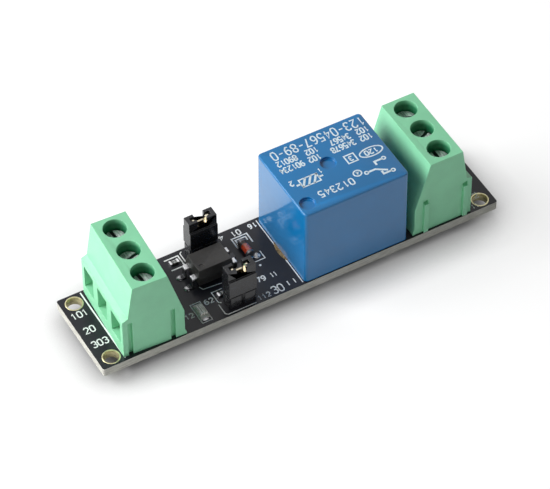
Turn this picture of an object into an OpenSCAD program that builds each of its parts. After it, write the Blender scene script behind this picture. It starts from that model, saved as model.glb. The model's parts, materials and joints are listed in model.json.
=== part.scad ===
// One-channel relay module board: a narrow circuit board with a three-pole screw
// terminal block at each end, a cube relay, an optocoupler and two jumpers.
// The origin is under the middle of the board, on the surface that the leads stand on.
// X runs along the board towards the output block, Y across it, Z up.

/* [Board] */
// Length of the circuit board
board_l = 72.4; // [70.4:0.2:90]
// Width of the circuit board
board_w = 16.4; // [16.4:0.2:24]
// Thickness of the circuit board
board_t = 1.6; // [1:0.1:2.4]
// Radius of the board's corners
board_corner_r = 0.4; // [0.2:0.1:1.2]
// How far the trimmed leads stand below the board
lead_drop = 1.8; // [1.5:0.1:3]
// Diameter of the mounting holes
mount_hole_d = 2.6; // [2:0.1:2.8]
// Mounting hole centres from the board's ends
mount_inset_x = 2.3; // [1.9:0.1:2.5]
// Mounting hole centres from the board's long edges
mount_inset_y = 1.85; // [1.75:0.05:2.6]

/* [Terminal block] */
// Distance from one pole to the next
pole_pitch = 5.08; // [5:0.01:5.1]
// Plastic beyond each end pole
block_end = 0.05; // [0:0.01:0.08]
// Height of the block above the board
block_h = 15; // [14:0.1:18]
// Depth of the block from wire face to back wall
block_depth = 10.65; // [10.2:0.05:11.2]
// Height of the upright part of the wire face
shoulder_h = 8; // [7.8:0.1:9.5]
// Step from the wire face in to the leaning face
shoulder_in = 1; // [0.6:0.1:1.3]
// Rise of the shoulder across that step
shoulder_rise = 0.5; // [0.2:0.1:1]
// Lean of the upper wire side between shoulder and top
front_lean = 1; // [0.6:0.1:1.3]
// Width of the flat top
block_top_w = 6; // [5.4:0.1:6.4]
// Height of the upright part of the back wall
back_wall_h = 5.6; // [5.4:0.1:7.5]
// How far the foot stands out behind the back wall
foot_out = 0.3; // [0.1:0.1:0.6]
// Height of the foot
foot_h = 0.4; // [0.3:0.1:1]
// Diameter of the screw wells
well_d = 3.85; // [3.8:0.05:4.3]
// Depth of the screw heads below the top
screw_sink = 2.1; // [1.8:0.1:2.8]
// Thickness of the ledge under each screw head
ledge_t = 0.8; // [0.5:0.1:1]
// Plastic wall between two clamp chambers
pole_wall = 1.18; // [1:0.02:1.4]
// Width of a wire entry
entry_w = 3.4; // [2.6:0.1:3.6]
// Height of a wire entry
entry_h = 4.65; // [3:0.05:4.8]
// Floor of a wire entry above the board
entry_z = 2.35; // [2:0.05:2.8]
// Depth of the interlock ribs and their grooves
rib_out = 0.35; // [0.2:0.05:0.35]
// Width of an interlock rib at its face
rib_w = 0.9; // [0.8:0.05:1.2]
// Height of the rib at the wire side
front_rib_h = 7; // [6:0.1:7.2]
// Height of the rib at the back
back_rib_h = 6.5; // [5:0.1:8]
// Middle of the front rib from the wire face
front_rib_x = 1.3; // [1.1:0.05:1.6]
// Middle of the back rib from the wire face
back_rib_x = 8.65; // [8.5:0.05:9]

/* [Clamps and screws] */
// Diameter of the screw shank
screw_d = 2.5; // [2.2:0.05:2.6]
// Diameter of the screw head
head_d = 3.65; // [3.3:0.05:3.7]
// Height of the screw head
head_h = 1.45; // [1.2:0.05:1.7]
// Width of the driver slot
slot_w = 0.6; // [0.4:0.05:0.9]
// Depth of the driver slot
slot_depth = 0.8; // [0.5:0.05:1]
// Length of a clamp cage along the wire
clamp_l = 4; // [3.6:0.1:4.1]
// Thickness of the threaded top of a clamp cage
clamp_top_t = 1.3; // [1:0.1:1.5]
// Thickness of a clamp cage's floor
clamp_floor_t = 0.8; // [0.5:0.1:1]
// Room for the wire under the tongue with the clamp open
wire_space = 3; // [2.95:0.05:3.2]
// Thickness of the contact strip
strip_t = 0.8; // [0.6:0.05:0.9]
// Diameter of a terminal's solder pin
terminal_pin_d = 1; // [0.8:0.05:1.1]

/* [Block places] */
// Wire face of the input block from the board's left end
input_inset = 4.35; // [4.1:0.05:5]
// Wire face of the output block from the board's right end
output_inset = 5; // [4:0.05:6]
// Middle of the input block from the board's front edge
input_y = 8.15; // [8.1:0.05:8.4]
// Middle of the output block from the board's front edge
output_y = 8.05; // [8.05:0.05:8.4]
// Turn of the input block in its holes, in degrees
input_turn = 2.8; // [0:0.1:3]

/* [Relay] */
// Length of the relay along the board
relay_l = 19.1; // [18.9:0.1:20]
// Width of the relay across the board
relay_w = 15.7; // [15.2:0.1:15.8]
// Height of the relay
relay_h = 15.5; // [15.3:0.1:17]
// Draft of each relay side over its height
relay_draft = 0.05; // [0:0.05:0.25]
// Radius of the relay's upright edges
relay_corner_r = 0.7; // [0.4:0.1:1]
// Radius of the relay's top edges
relay_edge_r = 0.3; // [0.1:0.05:0.35]
// Wall of the relay cover
relay_wall = 0.85; // [0.6:0.05:0.95]
// Diameter of the round recesses in the relay's top
recess_d = 2.6; // [1.6:0.1:2.8]
// Depth of the round recesses
recess_depth = 0.5; // [0.1:0.05:0.6]
// Gap between the relay and the output block's foot
relay_gap = 1.05; // [0.5:0.05:1.8]
// Middle of the relay from the board's front edge
relay_y = 8.02; // [7.9:0.01:8.4]
// Radius of the coil's flanges
flange_r = 5.3; // [4.8:0.1:5.5]
// Radius of the winding
winding_r = 4.9; // [4:0.1:5.2]
// Radius of the iron core
core_r = 1.8; // [1.5:0.1:2]
// Thickness of the yoke
yoke_t = 1.3; // [1:0.1:1.4]
// Width of the yoke and of the armature's hinge end
yoke_w = 8; // [7:0.2:9]
// Thickness of the armature
armature_t = 0.9; // [0.7:0.05:1]
// Angle that the armature stands open at rest, in degrees
armature_open = 3.5; // [2.5:0.1:3.6]
// Thickness of the contact spring
spring_t = 0.25; // [0.2:0.05:0.3]
// Radius of the contact beads
bead_r = 1.1; // [0.8:0.1:1.3]

/* [Small parts] */
// Length of the optocoupler body along the board
opto_l = 6.5; // [6:0.1:6.6]
// Width of the optocoupler body
opto_w = 4.6; // [4.4:0.1:5]
// Height of the optocoupler's top above the board
opto_h = 3.8; // [3.2:0.1:4.2]
// Pitch of the optocoupler's leads and of the jumper pins
pin_pitch = 2.54; // [2.5:0.01:2.56]
// Side of a square jumper pin
jumper_pin = 0.64; // [0.5:0.02:0.7]
// Width of a jumper header and its cap across the pins
header_w = 2.5; // [2.3:0.05:2.6]
// Height of a header's plastic
header_h = 2.5; // [2:0.1:2.8]
// Height of a jumper cap
cap_h = 5.6; // [5.4:0.1:6.6]
// Height of a jumper cap's wide lower part
cap_skirt_h = 3.6; // [3:0.1:3.8]
// Step from a cap's lower to its upper part
cap_step = 0.3; // [0.1:0.05:0.35]
// Width of the notch between a cap's two towers
notch_w = 1.8; // [1.2:0.1:2]
// Radius of the glass diode
diode_r = 0.7; // [0.6:0.05:0.8]
// Length of the glass diode with its caps
diode_l = 3.2; // [3:0.1:3.6]

/* [Hidden] */

// Levels and places of the board
board_top = lead_drop + board_t;
half_l = board_l / 2;
half_w = board_w / 2;
// A cut runs this far past the face it opens
cut = 0.1;
// Running clearance between pieces that slide or fit in each other
play = 0.1;
// Clearance between turned or pressed pieces that stay put
snug = 0.05;

// Terminal block, in its own frame: wire face at x = 0, board at z = 0
block_l = 3 * pole_pitch + 2 * block_end;
top_front_x = shoulder_in + front_lean;
top_back_x = top_front_x + block_top_w;
screw_x = (top_front_x + top_back_x) / 2;
foot_slope = 0.7;
chamber_w = pole_pitch - pole_wall;
chamber_front = screw_x - clamp_l / 2 - play;
clamp_w = chamber_w - 2 * play;
// The cage's walls leave room for the shank between them when the cage has risen
clamp_wall = (clamp_w - screw_d) / 2 - play;
strip_back = screw_x + clamp_l / 2 + 0.15;
clamp_z = strip_t + 2 * play;
clamp_floor_z = clamp_z + clamp_floor_t;
tongue_z = clamp_floor_z + wire_space;
tongue_top = tongue_z + strip_t;
clamp_top_z = tongue_top + play;
clamp_h = clamp_top_z + clamp_top_t - clamp_z;
tongue_w = clamp_w - 2 * clamp_wall - 2 * play;
head_z = block_h - screw_sink - head_h;
ledge_z = head_z - snug;
chamber_top = ledge_z - ledge_t;
shank_z = tongue_top + 1.5 * play;
groove_extra = 0.1;
// Grooves are deeper and higher than the ribs that slide into them
groove_room = 0.2;
groove_rise = 0.35;
pocket_h = 0.7;
pocket_depth = 0.35;
ribs = [[front_rib_x, front_rib_h], [back_rib_x, back_rib_h]];
// Angle at which each screw's slot was left, in degrees
input_slots = [99, 20, 95];
output_slots = [160, 30, 90];

// Block frames on the board
input_row_x = input_inset + screw_x - half_l;
output_row_x = half_l - output_inset - screw_x;
input_row_y = input_y - half_w;
output_row_y = output_y - half_w;
terminal_hole_r = terminal_pin_d / 2 + 0.35;
terminal_pad_r = 1.45;

// Relay, in its own frame: middle of its foot at the origin
block_back = block_depth + foot_out;
relay_x = half_l - output_inset - block_back - relay_gap - relay_l / 2;
relay_mid_y = relay_y - half_w;
relay_in_l = relay_l / 2 - relay_wall;
relay_in_w = relay_w / 2 - relay_wall;
relay_roof = relay_h - 1;
base_z = 0.3;
base_top = 2;
contact_x = relay_in_l - 1.6;
common_x = -contact_x;
coil_pin_x = common_x + 2;
side_pin_y = relay_in_w - 1;
relay_pin_t = 0.5;
relay_pin_w = 1;
relay_hole_r = 0.75;
relay_pad_r = 1.3;
yoke_back_x = 1 - relay_in_l;
hinge_x = yoke_back_x + yoke_t;
coil_x = hinge_x + flange_r + 0.5;
flange_t = 0.7;
sleeve_r = core_r + 0.55;
pole_r = core_r + 1.4;
pole_h = 0.8;
// The yoke's top falls away behind the edge that the armature rocks on
knife_drop = 0.2;
// The spring's tail bends down this far behind the yoke
tail_gap = 0.35;
tail_h = 3;
strip_thin = 0.4;
bead_h = 0.3;
// Half widths of the armature's nose, the spring and its contact tip, and of a riser
nose_w = 2 * core_r;
nose_l = core_r + 2;
spring_half_w = 2.4;
tip_half_w = bead_r + 0.2;
riser_half_w = 0.8;
recess_places = [[-0.55, 0.55], [-7.75, -5.45]];
bobbin_z = base_top + yoke_t;
// The contact stack hangs from the roof: fixed strip, bead, moving bead, spring, armature
closed_strip_z = relay_roof - 0.45 - strip_thin;
contact_rise = (contact_x - hinge_x) * sin(armature_open);
spring_z = closed_strip_z - 2 * bead_h - spring_t - contact_rise - play;
armature_z = spring_z - armature_t;
hinge_z = armature_z - snug;
pole_z = hinge_z - pole_h;
open_strip_z = spring_z - 2 * bead_h - strip_thin - snug;

// The zone of small parts lies between the input block and the relay
block_back_x = input_inset + block_back - half_l;
zone_x = (block_back_x + relay_x - relay_l / 2) / 2;
jumper_x = zone_x - 0.6;
front_jumper_x = zone_x - 0.25;
back_jumper_y = half_w - 0.7 - header_w / 2;
front_jumper_y = header_w / 2 + 1 - half_w;
header_l = 2 * pin_pitch;
header_notch = 0.35;
// Gap that stays between a header and the cap pushed onto its pins
cap_gap = 0.2;
cap_z = header_h + cap_gap;
pin_top = cap_z + cap_h - 0.4;
pin_taper = 0.3;
header_hole_r = 0.55;
header_pad_r = 0.9;
cap_l = header_l - 0.08;
cap_wall = 0.35;
notch_z = cap_skirt_h + 0.1;
cavity_w = header_w - 2 * cap_step - 2 * cap_wall;
cavity_l = cap_l - 2 * cap_wall;
opto_x = zone_x - 1.6;
opto_y = (back_jumper_y + front_jumper_y) / 2 + 1.35;
opto_low = 0.25;
opto_middle = (opto_low + opto_h) / 2;
lead_t = 0.25;
diode_x = zone_x + 5.65;
diode_y = opto_y + 1.1;
diode_cap_l = 0.5;
// The small parts beside the input block share the room between it and the headers
led_w = 1.5;
led_l = 3;
led_base_h = 0.5;
led_h = 0.9;
led_x = block_back_x + 0.47 * (front_jumper_x - pin_pitch - block_back_x);
led_y = 1.4 + led_l / 2 - half_w;
resistor_l = 1.6;
resistor_w = 0.8;
resistor_h = 0.45;
resistor_end = 0.3;
transistor_l = 2.9;
transistor_w = 1.4;
transistor_h = 1.05;
transistor_reach = 1.3;
// Inner edge of the front header; the parts behind it keep clear of it
front_edge_y = front_jumper_y + header_w / 2;
resistor_a = [block_back_x + 0.655 * (jumper_x - pin_pitch - block_back_x), half_w - 2.15];
resistor_b = [zone_x - 2.2, front_edge_y + 0.7 + resistor_w / 2];
transistor_x = zone_x + 1.5;
transistor_y = front_edge_y + 0.4 + transistor_reach;

// Puts a block's own frame on the board at the left end, turned as it was soldered
module place_input() {
    translate([input_row_x, input_row_y, board_top])
        rotate([0, 0, -input_turn])
            translate([-screw_x, 0, 0])
                children();
}

// Puts a block's own frame on the board at the right end, facing the other way
module place_output() {
    translate([output_row_x, output_row_y, board_top])
        rotate([0, 0, 180])
            translate([-screw_x, 0, 0])
                children();
}

// Moves to one pole of a block, counted 1 to 3 from the end with the grooves
module at_pole(number) {
    translate([screw_x, (number - 2) * pole_pitch, 0])
        children();
}

module place_relay() {
    translate([relay_x, relay_mid_y, board_top])
        children();
}

module on_board(x, y) {
    translate([x, y, board_top])
        children();
}

// Extrudes an outline drawn in X and Z along Y, centred
module along_y(width) {
    translate([0, width / 2, 0])
        rotate([90, 0, 0])
            linear_extrude(height = width)
                children();
}

// Extrudes an outline drawn in Y and Z along X, centred
module along_x(length) {
    translate([-length / 2, 0, 0])
        rotate([90, 0, 90])
            linear_extrude(height = length)
                children();
}

module box(size_x, size_y, z_low, z_high) {
    translate([-size_x / 2, -size_y / 2, z_low])
        cube([size_x, size_y, z_high - z_low]);
}

// The positions of the relay's five pins, as [x, y]
function relay_pins() = [
    [common_x, 0],
    [coil_pin_x, side_pin_y],
    [coil_pin_x, -side_pin_y],
    [contact_x, side_pin_y],
    [contact_x, -side_pin_y]
];

// The centres of the two jumper headers, as [x, y]
function header_places() = [
    [jumper_x, back_jumper_y],
    [front_jumper_x, front_jumper_y]
];

module circuit_board() {
    color([0.09, 0.09, 0.11])
    difference() {
        translate([0, 0, lead_drop])
            linear_extrude(height = board_t) {
                square([board_l - 2 * board_corner_r, board_w], center = true);
                square([board_l, board_w - 2 * board_corner_r], center = true);
                for (sx = [-1, 1], sy = [-1, 1])
                    translate([sx * (half_l - board_corner_r), sy * (half_w - board_corner_r)])
                        circle(r = board_corner_r, $fn = 32);
            }
        for (sx = [-1, 1], sy = [-1, 1])
            translate([sx * (half_l - mount_inset_x), sy * (half_w - mount_inset_y), lead_drop - cut])
                cylinder(h = board_t + 2 * cut, d = mount_hole_d, $fn = 48);
        for (number = [1:3]) {
            translate([input_row_x, input_row_y + (number - 2) * pole_pitch, lead_drop - cut])
                cylinder(h = board_t + 2 * cut, r = terminal_hole_r, $fn = 32);
            translate([output_row_x, output_row_y + (number - 2) * pole_pitch, lead_drop - cut])
                cylinder(h = board_t + 2 * cut, r = terminal_hole_r, $fn = 32);
        }
        for (pin = relay_pins())
            translate([relay_x + pin[0], relay_mid_y + pin[1], lead_drop - cut])
                cylinder(h = board_t + 2 * cut, r = relay_hole_r, $fn = 32);
        for (place = header_places(), side = [-1, 1])
            translate([place[0] + side * pin_pitch / 2, place[1], lead_drop - cut])
                cylinder(h = board_t + 2 * cut, r = header_hole_r, $fn = 32);
    }
}

// A solder joint: a concave cone under the board and a barrel up through the hole
module solder_joint(hole_r, pad_r, tip_r) {
    cone_h = lead_drop - 0.5;
    translate([0, 0, lead_drop])
        rotate_extrude($fn = 32)
            polygon([
                [0, board_t - snug],
                [hole_r - snug, board_t - snug],
                [hole_r - snug, 0],
                [pad_r, 0],
                [pad_r, -0.08],
                [(pad_r + tip_r) / 2 - 0.1, -cone_h * 0.38],
                [tip_r + 0.12, -cone_h * 0.72],
                [tip_r, -cone_h],
                [0, -cone_h]
            ]);
}

module terminal_pin() {
    translate([0, 0, -board_top])
        cylinder(h = board_top + snug, d = terminal_pin_d, $fn = 32);
}

module terminal_solder_joints() {
    color([0.78, 0.79, 0.8])
    difference() {
        for (number = [1:3]) {
            translate([input_row_x, input_row_y + (number - 2) * pole_pitch, 0])
                solder_joint(terminal_hole_r, terminal_pad_r, terminal_pin_d / 2 + 0.3);
            translate([output_row_x, output_row_y + (number - 2) * pole_pitch, 0])
                solder_joint(terminal_hole_r, terminal_pad_r, terminal_pin_d / 2 + 0.3);
        }
        for (number = [1:3]) {
            place_input() at_pole(number) terminal_pin();
            place_output() at_pole(number) terminal_pin();
        }
    }
}

module relay_pin_bar(thick, wide, top) {
    translate([-thick / 2, -wide / 2, -board_top])
        cube([thick, wide, board_top + top]);
}

module relay_solder_joints() {
    color([0.78, 0.79, 0.8])
    for (pin = relay_pins())
        translate([relay_x + pin[0], relay_mid_y + pin[1], 0])
            difference() {
                solder_joint(relay_hole_r, relay_pad_r, 0.68);
                translate([0, 0, board_top])
                    relay_pin_bar(relay_pin_t, relay_pin_w, snug);
            }
}

// Square pin with a tapered tip
module jumper_pin_bar() {
    translate([-jumper_pin / 2, -jumper_pin / 2, -board_top])
        cube([jumper_pin, jumper_pin, board_top + pin_top - pin_taper]);
    translate([0, 0, pin_top - pin_taper])
        rotate([0, 0, 45])
            cylinder(h = pin_taper, r1 = jumper_pin / sqrt(2), r2 = jumper_pin / sqrt(8), $fn = 4);
}

module header_solder_joints() {
    color([0.78, 0.79, 0.8])
    for (place = header_places(), side = [-1, 1])
        translate([place[0] + side * pin_pitch / 2, place[1], 0])
            difference() {
                solder_joint(header_hole_r, header_pad_r, 0.52);
                translate([0, 0, board_top])
                    jumper_pin_bar();
            }
}

// Side outline of the terminal block
module block_profile() {
    polygon([
        [0, 0],
        [0, shoulder_h],
        [shoulder_in, shoulder_h + shoulder_rise],
        [top_front_x, block_h],
        [top_back_x, block_h],
        [block_depth, back_wall_h],
        [block_depth, foot_h + foot_slope],
        [block_back, foot_h],
        [block_back, 0]
    ]);
}

// Dovetail rib or groove: narrow at the wall, wide at its face
module dovetail(width, out, height) {
    linear_extrude(height = height)
        polygon([
            [-width / 2 + 0.12, -cut],
            [width / 2 - 0.12, -cut],
            [width / 2 - 0.12, 0],
            [width / 2, out],
            [-width / 2, out],
            [-width / 2 + 0.12, 0]
        ]);
}

module pole_cuts() {
    // Screw well, and the neck that the shank passes through
    translate([0, 0, ledge_z])
        cylinder(h = block_h - ledge_z + cut, d = well_d, $fn = 48);
    translate([0, 0, chamber_top - cut])
        cylinder(h = ledge_t + 2 * cut, d = screw_d + 0.3, $fn = 48);
    // Chamber for the cage, with the strip's slot behind it
    translate([chamber_front - screw_x, -chamber_w / 2, -cut])
        cube([clamp_l + 2 * play, chamber_w, chamber_top + cut]);
    translate([0, -chamber_w / 2, -cut])
        cube([strip_back + strip_t - screw_x, chamber_w, tongue_top + play + cut]);
    // Wire entry
    translate([-screw_x - cut, -entry_w / 2, entry_z])
        cube([chamber_front + 2 * cut, entry_w, entry_h]);
}

module terminal_housing() {
    color([0.45, 0.8, 0.6])
    difference() {
        union() {
            along_y(block_l)
                block_profile();
            for (rib = ribs)
                translate([rib[0], block_l / 2, 0])
                    dovetail(rib_w, rib_out, rib[1]);
        }
        for (number = [1:3])
            at_pole(number)
                pole_cuts();
        for (rib = ribs) {
            // Groove for the rib of a block set beside this one
            translate([rib[0], -block_l / 2, -cut])
                dovetail(rib_w + groove_extra, rib_out + groove_room, rib[1] + groove_rise + cut);
            // Shallow pocket above the rib
            translate([rib[0] - rib_w / 2, block_l / 2 - pocket_depth, rib[1]])
                cube([rib_w, pocket_depth + cut, pocket_h]);
        }
    }
}

module input_terminal_housing() {
    place_input()
        terminal_housing();
}

module output_terminal_housing() {
    place_output()
        terminal_housing();
}

// Slotted terminal screw; the slot's angle is set for each screw
module terminal_screw(slot_angle) {
    color([0.8, 0.8, 0.82])
    difference() {
        union() {
            translate([0, 0, head_z])
                rotate_extrude($fn = 48)
                    polygon([
                        [0, 0],
                        [head_d / 2, 0],
                        [head_d / 2, head_h - 0.35],
                        [head_d / 2 - 0.12, head_h - 0.12],
                        [head_d / 2 - 0.4, head_h],
                        [0, head_h]
                    ]);
            translate([0, 0, shank_z])
                cylinder(h = head_z - shank_z + snug, d = screw_d, $fn = 48);
        }
        rotate([0, 0, slot_angle])
            translate([-head_d, -slot_w / 2, head_z + head_h - slot_depth])
                cube([2 * head_d, slot_w, slot_depth + cut]);
    }
}

// Rising clamp cage: a box with a window along the wire and a bored top
module clamp_cage() {
    color([0.75, 0.74, 0.7])
    difference() {
        box(clamp_l, clamp_w, clamp_z, clamp_z + clamp_h);
        box(clamp_l + 2 * cut, clamp_w - 2 * clamp_wall, clamp_floor_z, clamp_top_z);
        translate([0, 0, clamp_top_z - cut])
            cylinder(h = clamp_top_t + 2 * cut, d = screw_d + play, $fn = 48);
    }
}

// Contact strip: foot on the board, upright behind the cage, tongue through its window
module terminal_contact() {
    color([0.82, 0.8, 0.74])
    union() {
        along_y(tongue_w)
            polygon([
                [chamber_front - screw_x + play, 0],
                [strip_back + strip_t - screw_x, 0],
                [strip_back + strip_t - screw_x, tongue_top],
                [chamber_front - screw_x + play, tongue_top],
                [chamber_front - screw_x + play, tongue_z],
                [strip_back - screw_x, tongue_z],
                [strip_back - screw_x, strip_t],
                [chamber_front - screw_x + play, strip_t]
            ]);
        terminal_pin();
    }
}

module input_screw(number) {
    place_input()
        at_pole(number)
            terminal_screw(input_slots[number - 1]);
}

module output_screw(number) {
    place_output()
        at_pole(number)
            terminal_screw(output_slots[number - 1]);
}

module input_clamp(number) {
    place_input()
        at_pole(number)
            clamp_cage();
}

module output_clamp(number) {
    place_output()
        at_pole(number)
            clamp_cage();
}

module input_contact(number) {
    place_input()
        at_pole(number)
            terminal_contact();
}

module output_contact(number) {
    place_output()
        at_pole(number)
            terminal_contact();
}

// A box with rounded upright edges that draws in by the draft towards its top
module drafted_box(length, width, height, corner, draft, edge) {
    low = [length / 2 - corner, width / 2 - corner];
    high = [low[0] - draft, low[1] - draft];
    hull() {
        for (sx = [-1, 1], sy = [-1, 1]) {
            translate([sx * low[0], sy * low[1], 0])
                cylinder(h = 0.01, r = corner, $fn = 32);
            translate([sx * high[0], sy * high[1], height - edge])
                cylinder(h = 0.01, r = corner, $fn = 32);
            translate([sx * high[0], sy * high[1], height - 0.3 * edge])
                cylinder(h = 0.01, r = corner - 0.3 * edge, $fn = 32);
            translate([sx * high[0], sy * high[1], height - 0.01])
                cylinder(h = 0.01, r = corner - edge, $fn = 32);
        }
    }
}

module relay_cover() {
    color([0.2, 0.5, 0.78])
    place_relay()
        difference() {
            drafted_box(relay_l, relay_w, relay_h, relay_corner_r, relay_draft, relay_edge_r);
            box(2 * relay_in_l, 2 * relay_in_w, -cut, relay_roof);
            for (place = recess_places)
                translate([place[0], place[1], relay_h - recess_depth])
                    cylinder(h = recess_depth + cut, d = recess_d, $fn = 40);
        }
}

module relay_base() {
    color([0.15, 0.4, 0.65])
    place_relay()
        difference() {
            box(2 * (relay_in_l - snug), 2 * (relay_in_w - snug), base_z, base_top);
            for (pin = relay_pins())
                translate([pin[0], pin[1], 0])
                    box(relay_pin_t, relay_pin_w, base_z - cut, base_top + cut);
        }
}

module relay_bobbin() {
    color([0.92, 0.9, 0.84])
    place_relay()
        difference() {
            union() {
                translate([coil_x, 0, bobbin_z]) {
                    cylinder(h = flange_t, r = flange_r, $fn = 64);
                    cylinder(h = pole_z - bobbin_z, r = sleeve_r, $fn = 48);
                }
                translate([coil_x, 0, pole_z - flange_t])
                    cylinder(h = flange_t, r = flange_r, $fn = 64);
                // Ears that hold the two coil pins
                translate([coil_pin_x - 0.7, -side_pin_y - 0.7, bobbin_z])
                    cube([1.9, 2 * side_pin_y + 1.4, flange_t]);
            }
            translate([coil_x, 0, bobbin_z - cut])
                cylinder(h = pole_z - bobbin_z + 2 * cut, r = core_r + snug, $fn = 48);
            for (side = [-1, 1])
                translate([coil_pin_x, side * side_pin_y, 0])
                    box(relay_pin_t, relay_pin_w, bobbin_z - cut, bobbin_z + flange_t + cut);
        }
}

module relay_winding() {
    color([0.72, 0.4, 0.2])
    place_relay()
        translate([coil_x, 0, bobbin_z + flange_t])
            difference() {
                cylinder(h = pole_z - bobbin_z - 2 * flange_t, r = winding_r, $fn = 64);
                translate([0, 0, -cut])
                    cylinder(h = pole_z - bobbin_z, r = sleeve_r + snug, $fn = 48);
            }
}

module relay_core() {
    color([0.6, 0.6, 0.62])
    place_relay()
        translate([coil_x, 0, 0]) {
            translate([0, 0, base_top])
                cylinder(h = pole_z - base_top, r = core_r, $fn = 48);
            translate([0, 0, pole_z])
                cylinder(h = pole_h, r = pole_r, $fn = 48);
        }
}

// L-shaped yoke: a leg under the coil and an upright that the armature hinges on
module relay_yoke() {
    color([0.6, 0.6, 0.62])
    place_relay()
        difference() {
            along_y(yoke_w)
                polygon([
                    [yoke_back_x, base_top],
                    [coil_x + pole_r, base_top],
                    [coil_x + pole_r, base_top + yoke_t],
                    [hinge_x, base_top + yoke_t],
                    [hinge_x, hinge_z],
                    [hinge_x - 0.2, hinge_z],
                    [yoke_back_x, hinge_z - knife_drop]
                ]);
            translate([coil_x, 0, base_top - cut])
                cylinder(h = yoke_t + 2 * cut, r = core_r + snug, $fn = 48);
        }
}

// Turns what is drawn with the armature shut to where the spring holds it open
module armature_at_rest() {
    place_relay()
        translate([hinge_x, 0, hinge_z])
            rotate([0, -armature_open, 0])
                translate([-hinge_x, 0, -hinge_z])
                    children();
}

module relay_armature() {
    color([0.66, 0.66, 0.68])
    armature_at_rest()
        translate([0, 0, armature_z])
            linear_extrude(height = armature_t)
                polygon([
                    [yoke_back_x, -yoke_w / 2],
                    [coil_x - 2, -yoke_w / 2],
                    [coil_x - 1, -nose_w],
                    [coil_x + nose_l, -nose_w],
                    [coil_x + nose_l, nose_w],
                    [coil_x - 1, nose_w],
                    [coil_x - 2, yoke_w / 2],
                    [yoke_back_x, yoke_w / 2]
                ]);
}

module relay_contact_spring() {
    color([0.8, 0.55, 0.3])
    armature_at_rest()
        union() {
            translate([0, 0, spring_z])
                linear_extrude(height = spring_t)
                    polygon([
                        [yoke_back_x - tail_gap - spring_t, -spring_half_w],
                        [coil_x + nose_l + 0.2, -spring_half_w],
                        [contact_x + bead_r, -tip_half_w],
                        [contact_x + bead_r, tip_half_w],
                        [coil_x + nose_l + 0.2, spring_half_w],
                        [yoke_back_x - tail_gap - spring_t, spring_half_w]
                    ]);
            // Tail that bends down behind the yoke
            translate([yoke_back_x - tail_gap - spring_t, -spring_half_w, spring_z - tail_h])
                cube([spring_t, 2 * spring_half_w, tail_h + spring_t]);
            // Contact bead, with a face above and below the spring
            translate([contact_x - 0.1, 0, spring_z - bead_h])
                cylinder(h = 2 * bead_h + spring_t, r = bead_r, $fn = 32);
        }
}

module relay_common_pin() {
    color([0.8, 0.78, 0.7])
    place_relay()
        translate([common_x, 0, 0])
            relay_pin_bar(relay_pin_t, relay_pin_w, base_top);
}

// A fixed contact: a pin, a riser beside the end wall and a tab that carries the bead
module fixed_contact(side, tab_z, bead_low) {
    tab_y = min(side * (side_pin_y + riser_half_w), -side * tip_half_w);
    color([0.82, 0.75, 0.6])
    place_relay()
        union() {
            translate([contact_x, side * side_pin_y, 0])
                relay_pin_bar(relay_pin_t, relay_pin_w, base_top);
            translate([contact_x - relay_pin_t / 2, side * side_pin_y - riser_half_w, base_top])
                cube([relay_pin_t, 2 * riser_half_w, tab_z - base_top]);
            translate([contact_x - bead_r - 0.1, tab_y, tab_z])
                cube([2 * bead_r + 0.2, side_pin_y + riser_half_w + tip_half_w, strip_thin]);
            translate([contact_x, 0, bead_low])
                cylinder(h = bead_h + strip_thin / 2, r = bead_r, $fn = 32);
        }
}

module relay_open_contact() {
    fixed_contact(1, open_strip_z, open_strip_z + strip_thin / 2);
}

module relay_closed_contact() {
    fixed_contact(-1, closed_strip_z, closed_strip_z - bead_h);
}

module relay_coil_pin(side) {
    color([0.8, 0.78, 0.7])
    place_relay()
        translate([coil_pin_x, side * side_pin_y, 0])
            relay_pin_bar(relay_pin_t, relay_pin_w, bobbin_z + flange_t + 0.8);
}

// Body of a moulded chip: its four sides lean in above and below the parting line
module moulded_body(length, width, low, high, lean) {
    middle = (low + high) / 2;
    intersection() {
        along_y(width)
            polygon([
                [-length / 2 + lean, low],
                [-length / 2, middle],
                [-length / 2 + lean, high],
                [length / 2 - lean, high],
                [length / 2, middle],
                [length / 2 - lean, low]
            ]);
        along_x(length)
            polygon([
                [-width / 2 + lean, low],
                [-width / 2, middle],
                [-width / 2 + lean, high],
                [width / 2 - lean, high],
                [width / 2, middle],
                [width / 2 - lean, low]
            ]);
    }
}

// Gull-wing lead drawn in X and Z: out of the body, down, and out again on the board
module gull_lead(inner, knee, toe, level, thick, wide) {
    bend = 0.6 * thick;
    along_y(wide)
        polygon([
            [inner, level + thick / 2],
            [knee - bend, level + thick / 2],
            [knee - bend / 4, level + thick / 2 - bend / 4],
            [knee, level + thick / 2 - bend],
            [knee, thick + bend / 2],
            [knee + bend / 2, thick],
            [toe, thick],
            [toe, 0],
            [knee - thick + bend, 0],
            [knee - thick + bend / 4, bend / 4],
            [knee - thick, bend],
            [knee - thick, level - thick / 2 - bend / 2],
            [knee - thick - bend / 2, level - thick / 2],
            [inner, level - thick / 2]
        ]);
}

module optocoupler_body() {
    color([0.16, 0.16, 0.17])
    on_board(opto_x, opto_y)
        difference() {
            moulded_body(opto_l, opto_w, opto_low, opto_h, 0.3);
            // Dimple that marks pin one
            translate([-opto_l / 2 + 1.15, -opto_w / 2 + 1.15, opto_h - 0.15])
                cylinder(h = 0.15 + cut, r = 0.4, $fn = 24);
        }
}

module optocoupler_leads() {
    color([0.8, 0.8, 0.8])
    on_board(opto_x, opto_y)
        for (turn = [0, 180], side = [-1, 1])
            rotate([0, 0, turn])
                translate([0, side * pin_pitch / 2, 0])
                    gull_lead(opto_l / 2, opto_l / 2 + 0.8, opto_l / 2 + 1.9, opto_middle, lead_t, 1);
}

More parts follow.
